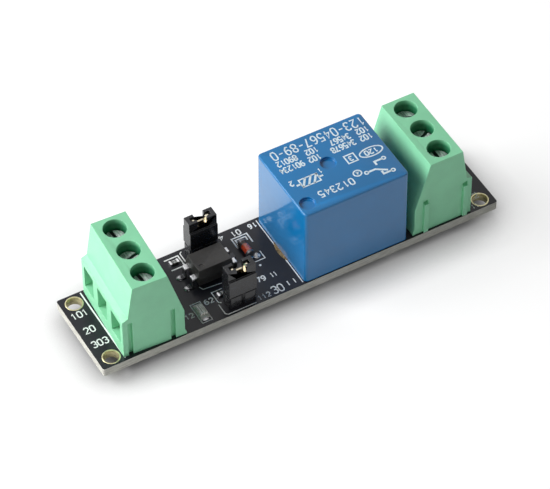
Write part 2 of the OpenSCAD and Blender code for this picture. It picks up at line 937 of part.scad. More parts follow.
module diode_glass() {
    color([0.8, 0.25, 0.1])
    on_board(diode_x, diode_y)
        translate([0, 0, diode_r + snug])
            rotate([90, 0, 0])
                cylinder(h = diode_l - 2 * diode_cap_l, r = diode_r, center = true, $fn = 32);
}

module diode_caps() {
    color([0.8, 0.8, 0.82])
    on_board(diode_x, diode_y)
        for (side = [-1, 1])
            translate([0, side * (diode_l - diode_cap_l) / 2, diode_r + snug])
                rotate([90, 0, 0])
                    cylinder(h = diode_cap_l, r = diode_r + snug, center = true, $fn = 32);
}

// Plastic of a two-pin header: two blocks with chamfered corners
module header_base() {
    color([0.1, 0.1, 0.11])
    difference() {
        linear_extrude(height = header_h)
            for (side = [-1, 1])
                translate([side * pin_pitch / 2, 0])
                    polygon([
                        [-pin_pitch / 2, -header_w / 2 + header_notch],
                        [-pin_pitch / 2 + header_notch, -header_w / 2],
                        [pin_pitch / 2 - header_notch, -header_w / 2],
                        [pin_pitch / 2, -header_w / 2 + header_notch],
                        [pin_pitch / 2, header_w / 2 - header_notch],
                        [pin_pitch / 2 - header_notch, header_w / 2],
                        [-pin_pitch / 2 + header_notch, header_w / 2],
                        [-pin_pitch / 2, header_w / 2 - header_notch]
                    ]);
        for (side = [-1, 1])
            translate([side * pin_pitch / 2, 0, 0])
                box(jumper_pin, jumper_pin, -cut, header_h + cut);
    }
}

module header_pins() {
    color([0.85, 0.75, 0.45])
    for (side = [-1, 1])
        translate([side * pin_pitch / 2, 0, 0])
            jumper_pin_bar();
}

// Jumper cap: a skirt, two hollow towers and a notch between them
module jumper_cap() {
    color([0.12, 0.12, 0.13])
    translate([0, 0, cap_z])
        difference() {
            union() {
                box(cap_l, header_w, 0, cap_skirt_h);
                box(cap_l, header_w - 2 * cap_step, cap_skirt_h - cut, cap_h);
            }
            box(cavity_l, cavity_w, -cut, cap_h - 0.7);
            box(notch_w, header_w + 2 * cut, notch_z, cap_h + cut);
            for (side = [-1, 1])
                translate([side * pin_pitch / 2, 0, 0])
                    box(1, 0.8, cap_h - 1, cap_h + cut);
        }
}

// Folded contact in a cap: a sleeve on each pin, joined by a bridge
module jumper_contact() {
    sleeve = min(cavity_w, 1.2);
    color([0.85, 0.75, 0.45])
    translate([0, 0, cap_z])
        difference() {
            union() {
                for (side = [-1, 1])
                    translate([side * pin_pitch / 2, 0, 0])
                        box(sleeve, sleeve, play, notch_z + 0.4);
                translate([0, sleeve / 2 - 0.15, 0])
                    box(pin_pitch, 0.3, play, notch_z + 0.4);
            }
            for (side = [-1, 1])
                translate([side * pin_pitch / 2, 0, 0]) {
                    box(jumper_pin, jumper_pin, -cut, cap_h);
                    translate([0, -jumper_pin / 2, 0])
                        box(0.25, jumper_pin, -cut, cap_h);
                }
        }
}

module led_body() {
    color([0.9, 0.88, 0.8])
    on_board(led_x, led_y)
        box(led_w, led_l, 0, led_base_h);
}

// Outline of the lens across one of its sides, drawn in a little at the top
module lens_outline(half, lean) {
    polygon([[-half, led_base_h], [lean - half, led_h], [half - lean, led_h], [half, led_base_h]]);
}

module led_lens() {
    lens_l = led_l - 0.8;
    lens_w = led_w - 0.1;
    color([0.85, 0.9, 0.8])
    on_board(led_x, led_y)
        intersection() {
            along_x(lens_w)
                lens_outline(lens_l / 2, 0.15);
            along_y(lens_l)
                lens_outline(lens_w / 2, 0.07);
        }
}

// Runs its children at both chip resistors, long side along X
module each_resistor() {
    for (place = [resistor_a, resistor_b])
        on_board(place[0], place[1])
            children();
}

module resistor_bodies() {
    color([0.1, 0.1, 0.1])
    each_resistor()
        box(resistor_l - 2 * resistor_end, resistor_w, 0.03, resistor_h - 0.03);
}

module resistor_ends() {
    color([0.85, 0.85, 0.85])
    each_resistor()
        for (side = [-1, 1])
            translate([side * (resistor_l - resistor_end) / 2, 0, 0])
                box(resistor_end, resistor_w, 0, resistor_h);
}

module transistor_body() {
    color([0.12, 0.12, 0.13])
    on_board(transistor_x, transistor_y)
        moulded_body(transistor_l, transistor_w, 0.1, transistor_h, 0.1);
}

module transistor_lead() {
    knee = transistor_w / 2 + 0.2;
    gull_lead(transistor_w / 2, knee, transistor_reach, transistor_h / 2, 0.15, 0.4);
}

module transistor_leads() {
    color([0.8, 0.8, 0.8])
    on_board(transistor_x, transistor_y) {
        for (side = [-1, 1])
            translate([side * 0.95, 0, 0])
                rotate([0, 0, -90])
                    transistor_lead();
        rotate([0, 0, 90])
            transistor_lead();
    }
}

module at_back_jumper() {
    on_board(jumper_x, back_jumper_y)
        children();
}

module at_front_jumper() {
    on_board(front_jumper_x, front_jumper_y)
        children();
}

circuit_board();
terminal_solder_joints();
relay_solder_joints();
header_solder_joints();
input_terminal_housing();
output_terminal_housing();
input_screw(1);  // input_screw_1
input_screw(2);  // input_screw_2
input_screw(3);  // input_screw_3
output_screw(1);  // output_screw_1
output_screw(2);  // output_screw_2
output_screw(3);  // output_screw_3
input_clamp(1);  // input_clamp_1
input_clamp(2);  // input_clamp_2
input_clamp(3);  // input_clamp_3
output_clamp(1);  // output_clamp_1
output_clamp(2);  // output_clamp_2
output_clamp(3);  // output_clamp_3
input_contact(1);  // input_contact_1
input_contact(2);  // input_contact_2
input_contact(3);  // input_contact_3
output_contact(1);  // output_contact_1
output_contact(2);  // output_contact_2
output_contact(3);  // output_contact_3
relay_cover();
relay_base();
relay_bobbin();
relay_winding();
relay_core();
relay_yoke();
relay_armature();
relay_contact_spring();
relay_common_pin();
relay_open_contact();
relay_closed_contact();
relay_coil_pin(1);  // relay_coil_pin_1
relay_coil_pin(-1);  // relay_coil_pin_2
optocoupler_body();
optocoupler_leads();
diode_glass();
diode_caps();
at_back_jumper() header_base();  // back_header_base
at_back_jumper() header_pins();  // back_header_pins
at_back_jumper() jumper_cap();  // back_jumper_cap
at_back_jumper() jumper_contact();  // back_jumper_contact
at_front_jumper() header_base();  // front_header_base
at_front_jumper() header_pins();  // front_header_pins
at_front_jumper() jumper_cap();  // front_jumper_cap
at_front_jumper() jumper_contact();  // front_jumper_contact
led_body();
led_lens();
resistor_bodies();
resistor_ends();
transistor_body();
transistor_leads();
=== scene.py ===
# Relay module board: finishes, printing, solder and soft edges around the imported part
import json
import math
import bmesh
import bpy
import numpy as np
from mathutils import Matrix, Vector

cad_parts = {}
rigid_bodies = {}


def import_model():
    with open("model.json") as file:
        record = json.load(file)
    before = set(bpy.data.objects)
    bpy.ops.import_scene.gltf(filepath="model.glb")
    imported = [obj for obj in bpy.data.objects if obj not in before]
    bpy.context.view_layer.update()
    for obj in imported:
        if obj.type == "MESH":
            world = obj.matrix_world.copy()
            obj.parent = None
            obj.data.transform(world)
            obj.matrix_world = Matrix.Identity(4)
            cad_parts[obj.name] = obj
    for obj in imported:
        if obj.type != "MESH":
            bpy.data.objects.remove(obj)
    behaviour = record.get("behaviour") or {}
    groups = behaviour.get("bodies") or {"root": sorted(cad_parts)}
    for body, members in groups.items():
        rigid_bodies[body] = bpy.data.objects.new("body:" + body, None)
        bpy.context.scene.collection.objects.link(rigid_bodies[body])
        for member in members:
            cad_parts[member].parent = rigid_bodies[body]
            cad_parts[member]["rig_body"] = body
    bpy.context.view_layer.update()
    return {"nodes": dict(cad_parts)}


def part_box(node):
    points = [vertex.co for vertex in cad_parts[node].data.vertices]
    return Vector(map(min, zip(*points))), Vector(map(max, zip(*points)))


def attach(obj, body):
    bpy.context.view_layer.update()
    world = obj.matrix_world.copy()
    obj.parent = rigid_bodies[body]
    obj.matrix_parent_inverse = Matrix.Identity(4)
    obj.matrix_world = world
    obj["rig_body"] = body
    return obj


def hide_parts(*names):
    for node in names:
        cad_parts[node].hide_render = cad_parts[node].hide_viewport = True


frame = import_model()
nodes = frame["nodes"]
mm = 0.001      # metres; pieces are given in mm, the lamps and the floor in metres
print("frame loaded:", len(nodes), "nodes")


def boxInMm(nodeName):
    return [np.array(corner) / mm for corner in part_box(nodeName)]


boardLow, boardHigh = boxInMm("circuit_board")
relayLow, relayHigh = boxInMm("relay_cover")
boardBottom, boardTop = boardLow[2], boardHigh[2]

# camera first: the photo's angle, a long lens, no shift
cameraSet = dict(
    azimuth=-29.061,                # degrees, 0 looks along +Y
    elevation=47.791,
    roll=-0.501,
    distance=513.8,                 # mm from the point it looks at
    lookAt=(-1.79, -1.65, 7.47),
    lens=210.7, sensor=36.0,
    nearest=0.01, furthest=20,      # metres between which it sees
)


def addCamera(view):
    azimuth, elevation, roll = (math.radians(view[key]) for key in ("azimuth", "elevation", "roll"))
    level = math.cos(elevation)
    back = Vector((math.sin(azimuth) * level, -math.cos(azimuth) * level, math.sin(elevation)))
    side = Vector((0, 0, 1)).cross(back).normalized()
    up = back.cross(side)
    right = math.cos(roll) * side + math.sin(roll) * up
    top = math.cos(roll) * up - math.sin(roll) * side
    place = Vector(view["lookAt"]) * mm + back * view["distance"] * mm
    data = bpy.data.cameras.new("camera")
    data.lens = view["lens"]
    data.sensor_width = view["sensor"]
    data.clip_start = view["nearest"]
    data.clip_end = view["furthest"]
    camera = bpy.data.objects.new("camera", data)
    camera.matrix_world = Matrix((
        (right.x, top.x, back.x, place.x),
        (right.y, top.y, back.y, place.y),
        (right.z, top.z, back.z, place.z),
        (0, 0, 0, 1),
    ))
    bpy.context.scene.collection.objects.link(camera)
    bpy.context.scene.camera = camera


addCamera(cameraSet)


# shader nodes


def addNode(tree, kind, ins=None, **settings):
    # one shader node: settings are its own properties, ins its sockets by name or number
    made = tree.nodes.new("ShaderNode" + kind)
    for key, value in settings.items():
        setattr(made, key, value)
    for key, value in (ins or {}).items():
        if isinstance(value, bpy.types.NodeSocket):
            tree.links.new(value, made.inputs[key])
        else:
            made.inputs[key].default_value = value
    return made


def combine(tree, operation, *values):
    return addNode(tree, "Math", dict(enumerate(values)), operation=operation).outputs[0]


def placeIn(tree):
    return addNode(tree, "TexCoord").outputs["Object"]


def partOf(tree, vector, axis):
    return addNode(tree, "SeparateXYZ", {0: vector}).outputs[axis]


def spread(tree, value, low, high, fromLow=0.3, fromHigh=0.7):
    # carries a value from its own range to low and high; a noise runs from about 0.3 to 0.7
    return addNode(tree, "MapRange", {0: value, 1: fromLow, 2: fromHigh, 3: low, 4: high}).outputs[0]


def shade(tree, factor, dark, light):
    # from dark at 0 to light at 1; a colour Mix has its colours in sockets 6 and 7
    made = addNode(tree, "Mix", data_type="RGBA")
    tree.links.new(factor, made.inputs[0])
    for socket, colour in ((made.inputs[6], dark), (made.inputs[7], light)):
        if isinstance(colour, bpy.types.NodeSocket):
            tree.links.new(colour, socket)
        else:
            socket.default_value = (*colour, 1)
    return made.outputs[2]


def noise(tree, place, scale, detail=3.0, rough=0.5):
    ins = {"Vector": place, "Scale": scale, "Detail": detail, "Roughness": rough}
    return addNode(tree, "TexNoise", ins).outputs[0]


def stretched(tree, place, by):
    return addNode(tree, "Mapping", {0: place, 3: by}).outputs[0]


def addBump(tree, shader, height, strength, depth):
    bump = addNode(tree, "Bump", {"Strength": strength, "Distance": depth * mm, "Height": height})
    tree.links.new(bump.outputs[0], shader.inputs["Normal"])


def setShader(shader, **values):
    for name, value in values.items():
        shader.inputs[name.replace("_", " ")].default_value = value


# light: a soft lamp from the upper left, a wide low one from the left, a white room
lightSet = dict(
    keyPower=2.2, keySize=0.26, keyPlace=(-0.30, 0.165, 0.27),
    fillPower=1.9, fillSize=0.6, fillPlace=(-0.8, -0.05, 0.2),
    aim=(0, 0, 0.01),               # metres, the point that both lamps face
    white=(1, 1, 1, 1), tint=(0.97, 0.985, 1, 1),
    roomLow=0.34, roomHigh=0.05,    # what the room adds, from the horizon and from overhead
)
floorSet = dict(
    half=3.0, white=(1, 1, 1, 1),
    bounce=0.94, seen=0.34,         # how pale the floor is to the light and to the eye
    glow=0.77, glowFar=1.0,         # keeps it white near the board and out to the horizon
    near=0.12, far=0.9,             # metres over which one goes over to the other
    contact=0.0075, depth=1.9,      # reach and depth of the shadow at the board's foot
    samples=16,
)


def addLamp(name, power, size, place, aim):
    data = bpy.data.lights.new(name, "AREA")
    data.energy = power
    data.size = size
    lamp = bpy.data.objects.new(name, data)
    lamp.location = place
    lamp.rotation_euler = (Vector(aim) - Vector(place)).to_track_quat("-Z", "Y").to_euler()
    bpy.context.scene.collection.objects.link(lamp)


def eyeRays(tree):
    # 1 for what the camera sees, also in a mirror or through glass
    path = addNode(tree, "LightPath").outputs
    seen = combine(tree, "MAXIMUM", path["Is Camera Ray"], path["Is Glossy Ray"])
    return combine(tree, "MAXIMUM", seen, path["Is Transmission Ray"])


def addRoom(room):
    world = bpy.data.worlds.new("room")
    bpy.context.scene.world = world
    world.use_nodes = True
    tree = world.node_tree
    tree.nodes.clear()
    seen = addNode(tree, "Background", {"Color": room["white"], "Strength": 1.0})
    level = spread(tree, partOf(tree, placeIn(tree), 2), room["roomLow"], room["roomHigh"], 0.0, 1.0)
    lit = addNode(tree, "Background", {"Color": room["tint"], "Strength": level})
    both = addNode(tree, "MixShader", {0: eyeRays(tree), 1: lit.outputs[0], 2: seen.outputs[0]})
    addNode(tree, "OutputWorld", {"Surface": both.outputs[0]})
    addLamp("keyLamp", room["keyPower"], room["keySize"], room["keyPlace"], room["aim"])
    addLamp("fillLamp", room["fillPower"], room["fillSize"], room["fillPlace"], room["aim"])


def addFloor(ground):
    # a flat sheet: it glows to the eye, less so close to what stands on it, and takes shadows
    half = ground["half"]
    corners = [(-half, -half, 0), (half, -half, 0), (half, half, 0), (-half, half, 0)]
    mesh = bpy.data.meshes.new("floor")
    mesh.from_pydata(corners, [], [(0, 1, 2, 3)])
    floor = bpy.data.objects.new("floor", mesh)
    bpy.context.scene.collection.objects.link(floor)
    mat = bpy.data.materials.new("paleFloor")
    mat.use_nodes = True
    tree = mat.node_tree
    tree.nodes.clear()
    shown = eyeRays(tree)
    away = addNode(tree, "VectorMath", {0: placeIn(tree)}, operation="LENGTH").outputs["Value"]
    glow = spread(tree, away, ground["glow"], ground["glowFar"], ground["near"], ground["far"])
    around = addNode(tree, "AmbientOcclusion", {"Distance": ground["contact"]}, samples=ground["samples"])
    clear = combine(tree, "POWER", around.outputs["AO"], ground["depth"])
    for share in (clear, shown):
        glow = combine(tree, "MULTIPLY", glow, share)
    light = addNode(tree, "Emission", {"Color": ground["white"], "Strength": glow})
    pale = spread(tree, shown, ground["bounce"], ground["seen"], 0.0, 1.0)
    matt = addNode(tree, "BsdfDiffuse", {"Color": pale})
    both = addNode(tree, "AddShader", {0: light.outputs[0], 1: matt.outputs[0]})
    addNode(tree, "OutputMaterial", {"Surface": both.outputs[0]})
    mesh.materials.append(mat)


addRoom(lightSet)
addFloor(floorSet)
bpy.context.scene.view_settings.view_transform = "Standard"
print("camera, lamps and floor set")


# materials


def startFinish(name):
    mat = bpy.data.materials.new(name)
    mat.use_nodes = True
    tree = mat.node_tree
    tree.nodes.clear()
    shader = addNode(tree, "BsdfPrincipled")
    addNode(tree, "OutputMaterial", {"Surface": shader.outputs[0]})
    return mat, tree, shader, placeIn(tree)


def scaled(colour, by):
    return tuple(min(1.0, part * by) for part in colour)


# shared by the plain finishes: bump, detail of its noise, the highest IOR of a coat, and the
# mm that red, green and blue light go below a glowing surface
plainSet = dict(bump=0.5, detail=2.0, coatIor=1.5, glowReach=(0.6, 1.0, 0.8))


def plainFinish(name, colour, roughness=0.4, vary=0.1, patch=300, grain=0.02, grainScale=4000,
                roughSpread=0.08, metal=0.0, coat=0.0, coatRough=0.1, ior=1.5, glow=0.0, clear=0.0):
    # slow patches of colour, fine grain in the bump, uneven roughness; patch and grainScale are
    # scales of noise, grain is how deep the bump goes in mm
    mat, tree, shader, place = startFinish(name)
    fine = noise(tree, place, grainScale, plainSet["detail"])
    patches = spread(tree, noise(tree, place, patch), 0, 1)
    tone = shade(tree, patches, scaled(colour, 1 - vary), scaled(colour, 1 + vary))
    tree.links.new(tone, shader.inputs["Base Color"])
    uneven = spread(tree, fine, roughness - roughSpread, roughness + roughSpread)
    tree.links.new(uneven, shader.inputs["Roughness"])
    addBump(tree, shader, fine, plainSet["bump"], grain)
    setShader(shader, Metallic=metal, Coat_Weight=coat, Coat_Roughness=coatRough,
              Coat_IOR=min(ior, plainSet["coatIor"]), IOR=ior, Transmission_Weight=clear)
    if glow:
        setShader(shader, Subsurface_Weight=glow, Subsurface_Scale=1.0,
                  Subsurface_Radius=tuple(reach * mm for reach in plainSet["glowReach"]))
    return mat


plainFinishes = dict(
    green=dict(name="greenMoulding", colour=(0.27, 0.7, 0.42), roughness=0.42, vary=0.05, patch=250,
               grain=0.012, grainScale=5000, glow=0.05),
    blue=dict(name="blueMoulding", colour=(0.006, 0.182, 0.455), roughness=0.16, vary=0.05, patch=200,
              grain=0.006, grainScale=3500, roughSpread=0.04, coat=1.0, coatRough=0.05, ior=1.3),
    darkBlue=dict(name="blueBase", colour=(0.015, 0.12, 0.3), roughness=0.35, vary=0.08),
    black=dict(name="blackMoulding", colour=(0.013, 0.013, 0.016), roughness=0.22, vary=0.25, patch=700,
               grainScale=5000),
    chip=dict(name="chipEpoxy", colour=(0.036, 0.033, 0.031), roughness=0.5, vary=0.2, patch=900,
              grain=0.03, grainScale=7000),
    cream=dict(name="bobbinNylon", colour=(0.75, 0.7, 0.56), roughness=0.45, vary=0.06),
    iron=dict(name="softIron", colour=(0.46, 0.46, 0.47), roughness=0.34, patch=800, grain=0.01,
              grainScale=5000, metal=1.0),
    tin=dict(name="tinnedStrip", colour=(0.78, 0.77, 0.74), roughness=0.25, vary=0.08, patch=900,
             grain=0.01, metal=1.0),
    brass=dict(name="brassStrip", colour=(0.68, 0.6, 0.45), roughness=0.34, vary=0.15, patch=900,
               grain=0.008, grainScale=5000, metal=1.0),
    # painted shade: the diode's metal end caps are darkened as though in shadow
    shadedEndCap=dict(name="shadedEndCap", colour=(0.13, 0.13, 0.14), roughness=0.36, vary=0.2, patch=1500,
                grain=0.01, metal=0.8),
    lead=dict(name="tinPlate", colour=(0.8, 0.8, 0.82), roughness=0.22, patch=1200, grain=0.01,
              grainScale=6000, metal=1.0),
    solder=dict(name="solder", colour=(0.74, 0.75, 0.77), roughness=0.18, vary=0.12, patch=1500,
                grain=0.03, grainScale=2500, metal=1.0),
    # painted shade: solder on the small parts is darkened as though it lay in shade
    shadedSolder=dict(name="shadedSolder", colour=(0.38, 0.38, 0.39), roughness=0.28, vary=0.5, patch=2500,
                     grain=0.03, grainScale=2500, metal=0.9),
    gold=dict(name="goldFlash", colour=(0.86, 0.79, 0.62), roughness=0.28, vary=0.12, patch=900,
              grain=0.008, grainScale=5000, metal=1.0),
    copperAlloy=dict(name="springAlloy", colour=(0.72, 0.42, 0.22), roughness=0.28, patch=900,
                     grain=0.008, grainScale=5000, metal=1.0),
    cage=dict(name="cagePlate", colour=(0.66, 0.65, 0.6), roughness=0.3, vary=0.12, patch=900,
              grain=0.015, grainScale=5000, metal=1.0),
    ink=dict(name="whiteInk", colour=(0.85, 0.87, 0.86), roughness=0.5, patch=2500, grain=0.01,
             grainScale=9000),
    relayInk=dict(name="relayInk", colour=(0.72, 0.84, 0.92), roughness=0.45, vary=0.12, patch=2500,
                  grain=0.008, grainScale=9000),
    laminate=dict(name="whiteLaminate", colour=(0.55, 0.55, 0.51), vary=0.15, patch=1800,
                  grainScale=6000),
    glass=dict(name="redGlass", colour=(0.78, 0.085, 0.03), roughness=0.1, vary=0.3, patch=1500,
               grain=0.004, roughSpread=0.03, coat=1.0, coatRough=0.03, clear=0.2),
    band=dict(name="bandInk", colour=(0.035, 0.02, 0.015), vary=0.2, patch=1500, grain=0.004,
              grainScale=5000),
    track=dict(name="trackMask", colour=(0.034, 0.034, 0.044), roughness=0.35, vary=0.15, patch=800,
               grainScale=3000),
    plating=dict(name="holePlating", colour=(0.6, 0.55, 0.33), roughness=0.35, vary=0.2, patch=1500,
                 metal=0.8),
    padMetal=dict(name="padMetal", colour=(0.3, 0.2, 0.09), roughness=0.45, vary=0.8, patch=2600,
                  grain=0.03, metal=0.6),
)
finishes = {key: plainFinish(**look) for key, look in plainFinishes.items()}

boardSet = dict(
    maskDark=(0.009, 0.009, 0.013), maskLight=(0.016, 0.016, 0.022), maskPatch=160, maskRough=0.3,
    coreDark=(0.36, 0.35, 0.31), coreLight=(0.7, 0.69, 0.63), coreRough=0.62,
    layers=(500, 500, 9000), layerDetail=4.0, layerRough=0.6,   # fibre layers, fine along Z
    plating=(0.5, 0.4, 0.2), inside=0.15,                       # mm in from the edges, where holes are
    flatFrom=0.45, flatTo=0.55, grainScale=1800, grain=0.02, bump=0.4, ior=1.4,
)


def boardFinish(look):
    # solder mask on the flat faces, laminate with its fibre layers on the edges, plating in the holes
    mat, tree, shader, place = startFinish("boardLaminate")
    normal = addNode(tree, "NewGeometry").outputs["Normal"]
    flat = combine(tree, "ABSOLUTE", partOf(tree, normal, 2))
    onFace = spread(tree, flat, 0, 1, look["flatFrom"], look["flatTo"])
    patches = spread(tree, noise(tree, place, look["maskPatch"]), 0, 1)
    mask = shade(tree, patches, look["maskDark"], look["maskLight"])
    layers = stretched(tree, place, look["layers"])
    weave = noise(tree, layers, 1.0, look["layerDetail"], look["layerRough"])
    core = shade(tree, spread(tree, weave, 0, 1), look["coreDark"], look["coreLight"])
    # a wall that lies in from the board's edges belongs to a hole
    within = [combine(tree, "LESS_THAN", combine(tree, "ABSOLUTE", partOf(tree, place, axis)),
                      (boardHigh[axis] - look["inside"]) * mm) for axis in (0, 1)]
    edge = shade(tree, combine(tree, "MULTIPLY", *within), core, look["plating"])
    tree.links.new(shade(tree, onFace, edge, mask), shader.inputs["Base Color"])
    rough = spread(tree, onFace, look["coreRough"], look["maskRough"], 0, 1)
    tree.links.new(rough, shader.inputs["Roughness"])
    addBump(tree, shader, noise(tree, place, look["grainScale"]), look["bump"], look["grain"])
    setShader(shader, IOR=look["ior"])
    return mat


finishes["board"] = boardFinish(boardSet)

windingSet = dict(colour=(0.72, 0.3, 0.12), gap=0.5, turns=3200, depth=0.05, bump=0.8, metal=0.8, rough=0.32)


def windingFinish(look):
    # turns of fine wire: a wave along Z gives each turn its round back
    mat, tree, shader, place = startFinish("copperWinding")
    wave = addNode(tree, "TexWave", {"Vector": place, "Scale": look["turns"]}, bands_direction="Z").outputs[1]
    tone = shade(tree, wave, scaled(look["colour"], look["gap"]), look["colour"])
    tree.links.new(tone, shader.inputs["Base Color"])
    addBump(tree, shader, wave, look["bump"], look["depth"])
    setShader(shader, Metallic=look["metal"], Roughness=look["rough"])
    return mat


finishes["winding"] = windingFinish(windingSet)

lensSet = dict(
    ground=(0.34, 0.34, 0.29), streak=(0.95, 0.95, 0.88), stretch=(5200, 900, 3000),
    fromLow=0.38, fromHigh=0.62, fibre=0.6, rough=0.3, coat=0.4,
)


def lensFinish(look):
    # the lamp's window: pale streaks along Y over a grey ground, a painted reflection in place of a clear
    # window
    mat, tree, shader, place = startFinish("lampLens")
    streaks = noise(tree, stretched(tree, place, look["stretch"]), 1.0, rough=look["fibre"])
    share = spread(tree, streaks, 0, 1, look["fromLow"], look["fromHigh"])
    tree.links.new(shade(tree, share, look["ground"], look["streak"]), shader.inputs["Base Color"])
    setShader(shader, Roughness=look["rough"], Coat_Weight=look["coat"])
    return mat


finishes["lens"] = lensFinish(lensSet)

headTop = boxInMm("input_screw_1")[1][2]
leadTop = boxInMm("optocoupler_leads")[1][2]
streakSet = dict(fromLow=0.42, fromHigh=0.58, fibre=0.6, bump=0.6, depth=0.03, rough=0.3)
headSet = dict(
    stretch=(3200, 500, 500), dark=(0.55, 0.56, 0.58), bright=(1.0, 1.0, 1.0), metal=0.18,
    paintedShadeTone=(0.12, 0.13, 0.13), low=headTop - 0.2, high=headTop - 0.05,    # painted shade in the slot and on the head below its top
)
leadSet = dict(
    stretch=(1500, 1500, 1500), dark=(0.6, 0.6, 0.62), bright=(0.85, 0.85, 0.87), metal=0.8,
    paintedShadeTone=(0.06, 0.06, 0.065), low=leadTop - 0.5, high=leadTop - 0.25,   # painted shade below the bend, down to the foot
)


def streakedShadedMetal(name, look, streak):
    # streaks of bright and dark, and a painted shade below a height
    mat, tree, shader, place = startFinish(name)
    drawn = noise(tree, stretched(tree, place, look["stretch"]), 1.0, rough=streak["fibre"])
    streaks = spread(tree, drawn, 0, 1, streak["fromLow"], streak["fromHigh"])
    upper = spread(tree, partOf(tree, place, 2), 0, 1, look["low"] * mm, look["high"] * mm)
    tone = shade(tree, upper, look["paintedShadeTone"], shade(tree, streaks, look["dark"], look["bright"]))
    tree.links.new(tone, shader.inputs["Base Color"])
    addBump(tree, shader, streaks, streak["bump"], streak["depth"])
    setShader(shader, Metallic=look["metal"], Roughness=streak["rough"])
    return mat


finishes["head"] = streakedShadedMetal("screwHead", headSet, streakSet)
finishes["bentLead"] = streakedShadedMetal("bentLead", leadSet, streakSet)

poles = [(block, number) for block in ("input", "output") for number in (1, 2, 3)]
# painted shade in the screw wells: where it lies, how it fades, and its colour
wellShadeSet = dict(
    radius=1.96, edge=0.04,                             # from each screw's axis, and how soft it ends
    rim=boxInMm("input_terminal_housing")[1][2], fade=1.1,
    wellShadeColour=(0.022, 0.22, 0.095),
)


def paintWellShade(mat, well):
    # painted shade inside the screw wells: the moulding is darkened near each screw's axis and below the rim,
    # where the wells lie in shadow
    tree = mat.node_tree
    shader = next(node for node in tree.nodes if node.type == "BSDF_PRINCIPLED")
    tone = shader.inputs["Base Color"].links[0].from_socket
    place = placeIn(tree)
    flat = addNode(tree, "VectorMath", {0: place, 1: (1, 1, 0)}, operation="MULTIPLY").outputs[0]
    nearest = None
    for block, number in poles:
        low, high = boxInMm(f"{block}_screw_{number}")
        axis = (*(low[:2] + high[:2]) / 2 * mm, 0)
        off = addNode(tree, "VectorMath", {0: flat, 1: axis}, operation="DISTANCE").outputs["Value"]
        nearest = combine(tree, "MINIMUM", nearest, off) if nearest else off
    radius, rim = well["radius"], well["rim"]
    inside = spread(tree, nearest, 1, 0, radius * mm, (radius + well["edge"]) * mm)
    below = spread(tree, partOf(tree, place, 2), 1, 0, (rim - well["fade"]) * mm, rim * mm)
    shadedTone = shade(tree, combine(tree, "MULTIPLY", inside, below), tone, well["wellShadeColour"])
    tree.links.new(shadedTone, shader.inputs["Base Color"])


paintWellShade(finishes["green"], wellShadeSet)

nodeFinish = dict(
    circuit_board="board", terminal_solder_joints="solder", relay_solder_joints="solder",
    header_solder_joints="solder", input_terminal_housing="green", output_terminal_housing="green",
    relay_cover="blue", relay_base="darkBlue", relay_bobbin="cream", relay_winding="winding",
    relay_core="iron", relay_yoke="iron", relay_armature="iron", relay_contact_spring="copperAlloy",
    relay_common_pin="tin", relay_open_contact="tin", relay_closed_contact="tin",
    relay_coil_pin_1="tin", relay_coil_pin_2="tin", optocoupler_body="chip", optocoupler_leads="bentLead",
    diode_glass="glass", diode_caps="shadedEndCap", back_header_base="black", front_header_base="black",
    back_header_pins="gold", front_header_pins="gold", back_jumper_cap="black", front_jumper_cap="black",
    back_jumper_contact="brass", front_jumper_contact="brass", led_body="laminate", led_lens="lens",
    resistor_bodies="chip", resistor_ends="lead", transistor_body="chip", transistor_leads="lead",
)
for block, number in poles:
    for part, finishName in (("screw", "head"), ("clamp", "cage"), ("contact", "tin")):
        nodeFinish[f"{block}_{part}_{number}"] = finishName
for nodeName, finishName in nodeFinish.items():
    slots = nodes[nodeName].data.materials
    slots.clear()
    slots.append(finishes[finishName])
print("finishes made:", len(finishes))


# surfaces


def bodyOf(nodeName):
    return nodes[nodeName]["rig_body"]


def spotsOf(nodeName):
    # every vertex of a node, in mm
    mesh = nodes[nodeName].data
    flat = np.empty(len(mesh.vertices) * 3)
    mesh.vertices.foreach_get("co", flat)
    return flat.reshape(-1, 3) / mm


def joinParts(parts):
    # several surfaces as one: each one's faces count on from the points before it
    starts = np.cumsum([0] + [len(verts) for verts, faces in parts[:-1]])
    return (np.concatenate([verts for verts, faces in parts]),
            np.concatenate([faces + start for (verts, faces), start in zip(parts, starts)]))


def placePiece(name, parts, finishName, body, smooth=None, weld=1e-7):
    # puts the parts' arrays into one mesh, merges doubled poles and turns the faces outwards
    verts, faces = joinParts(parts)
    mesh = bpy.data.meshes.new(name)
    mesh.from_pydata((verts * mm).tolist(), [], faces.tolist())
    bm = bmesh.new()
    bm.from_mesh(mesh)
    bmesh.ops.remove_doubles(bm, verts=bm.verts, dist=weld)
    bmesh.ops.dissolve_degenerate(bm, edges=bm.edges, dist=weld)
    bmesh.ops.recalc_face_normals(bm, faces=bm.faces)
    bm.to_mesh(mesh)
    bm.free()
    if smooth:
        mesh.shade_smooth()
        mesh.set_sharp_from_angle(angle=math.radians(smooth))
    mesh.materials.append(finishes[finishName])
    piece = bpy.data.objects.new(name, mesh)
    bpy.context.scene.collection.objects.link(piece)
    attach(piece, body)


def quads(rows, cols, wrapRows=False, wrapCols=False):
    # a sheet of rows by cols points as four-cornered faces, closed on itself where it wraps
    row, col = np.meshgrid(np.arange(rows if wrapRows else rows - 1),
                           np.arange(cols if wrapCols else cols - 1), indexing="ij")
    row, col = row.ravel(), col.ravel()
    nextRow, nextCol = (row + 1) % rows, (col + 1) % cols
    return np.stack([row * cols + col, nextRow * cols + col,
                     nextRow * cols + nextCol, row * cols + nextCol], 1)


